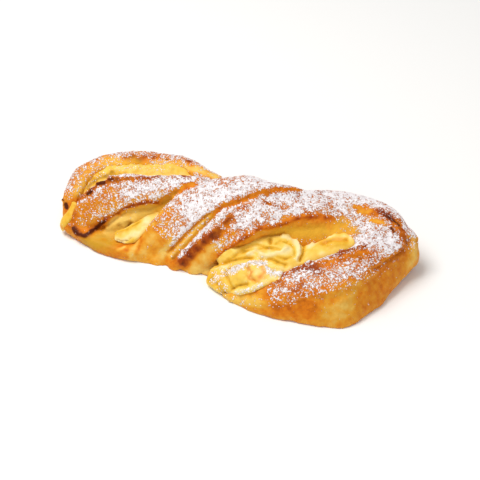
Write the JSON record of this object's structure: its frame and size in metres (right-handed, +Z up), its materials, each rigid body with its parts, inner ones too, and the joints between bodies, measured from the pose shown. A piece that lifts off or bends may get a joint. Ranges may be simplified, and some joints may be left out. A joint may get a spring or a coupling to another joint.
{
  "type": "danish pastry",
  "caption": "Long twisted sweet yeast pastry with an open loop at each end, filled with pale yellow curd and dusted with icing sugar.",
  "frame": {"origin": "middle of the pastry's length and width, on its flat underside", "axes": "+Z up from the underside, +X along the pastry towards its large loop, +Y towards its back, away from the side where the large loop's low tip and the spilled curd lie"},
  "size_m": [0.1724, 0.0714, 0.0376],
  "materials": {
    "baked_dough": "matte",
    "curd": "satin"
  },
  "bodies": {
    "root": {"dough": "baked_dough", "curd_filling": "curd"}
  },
  "joints": []
}
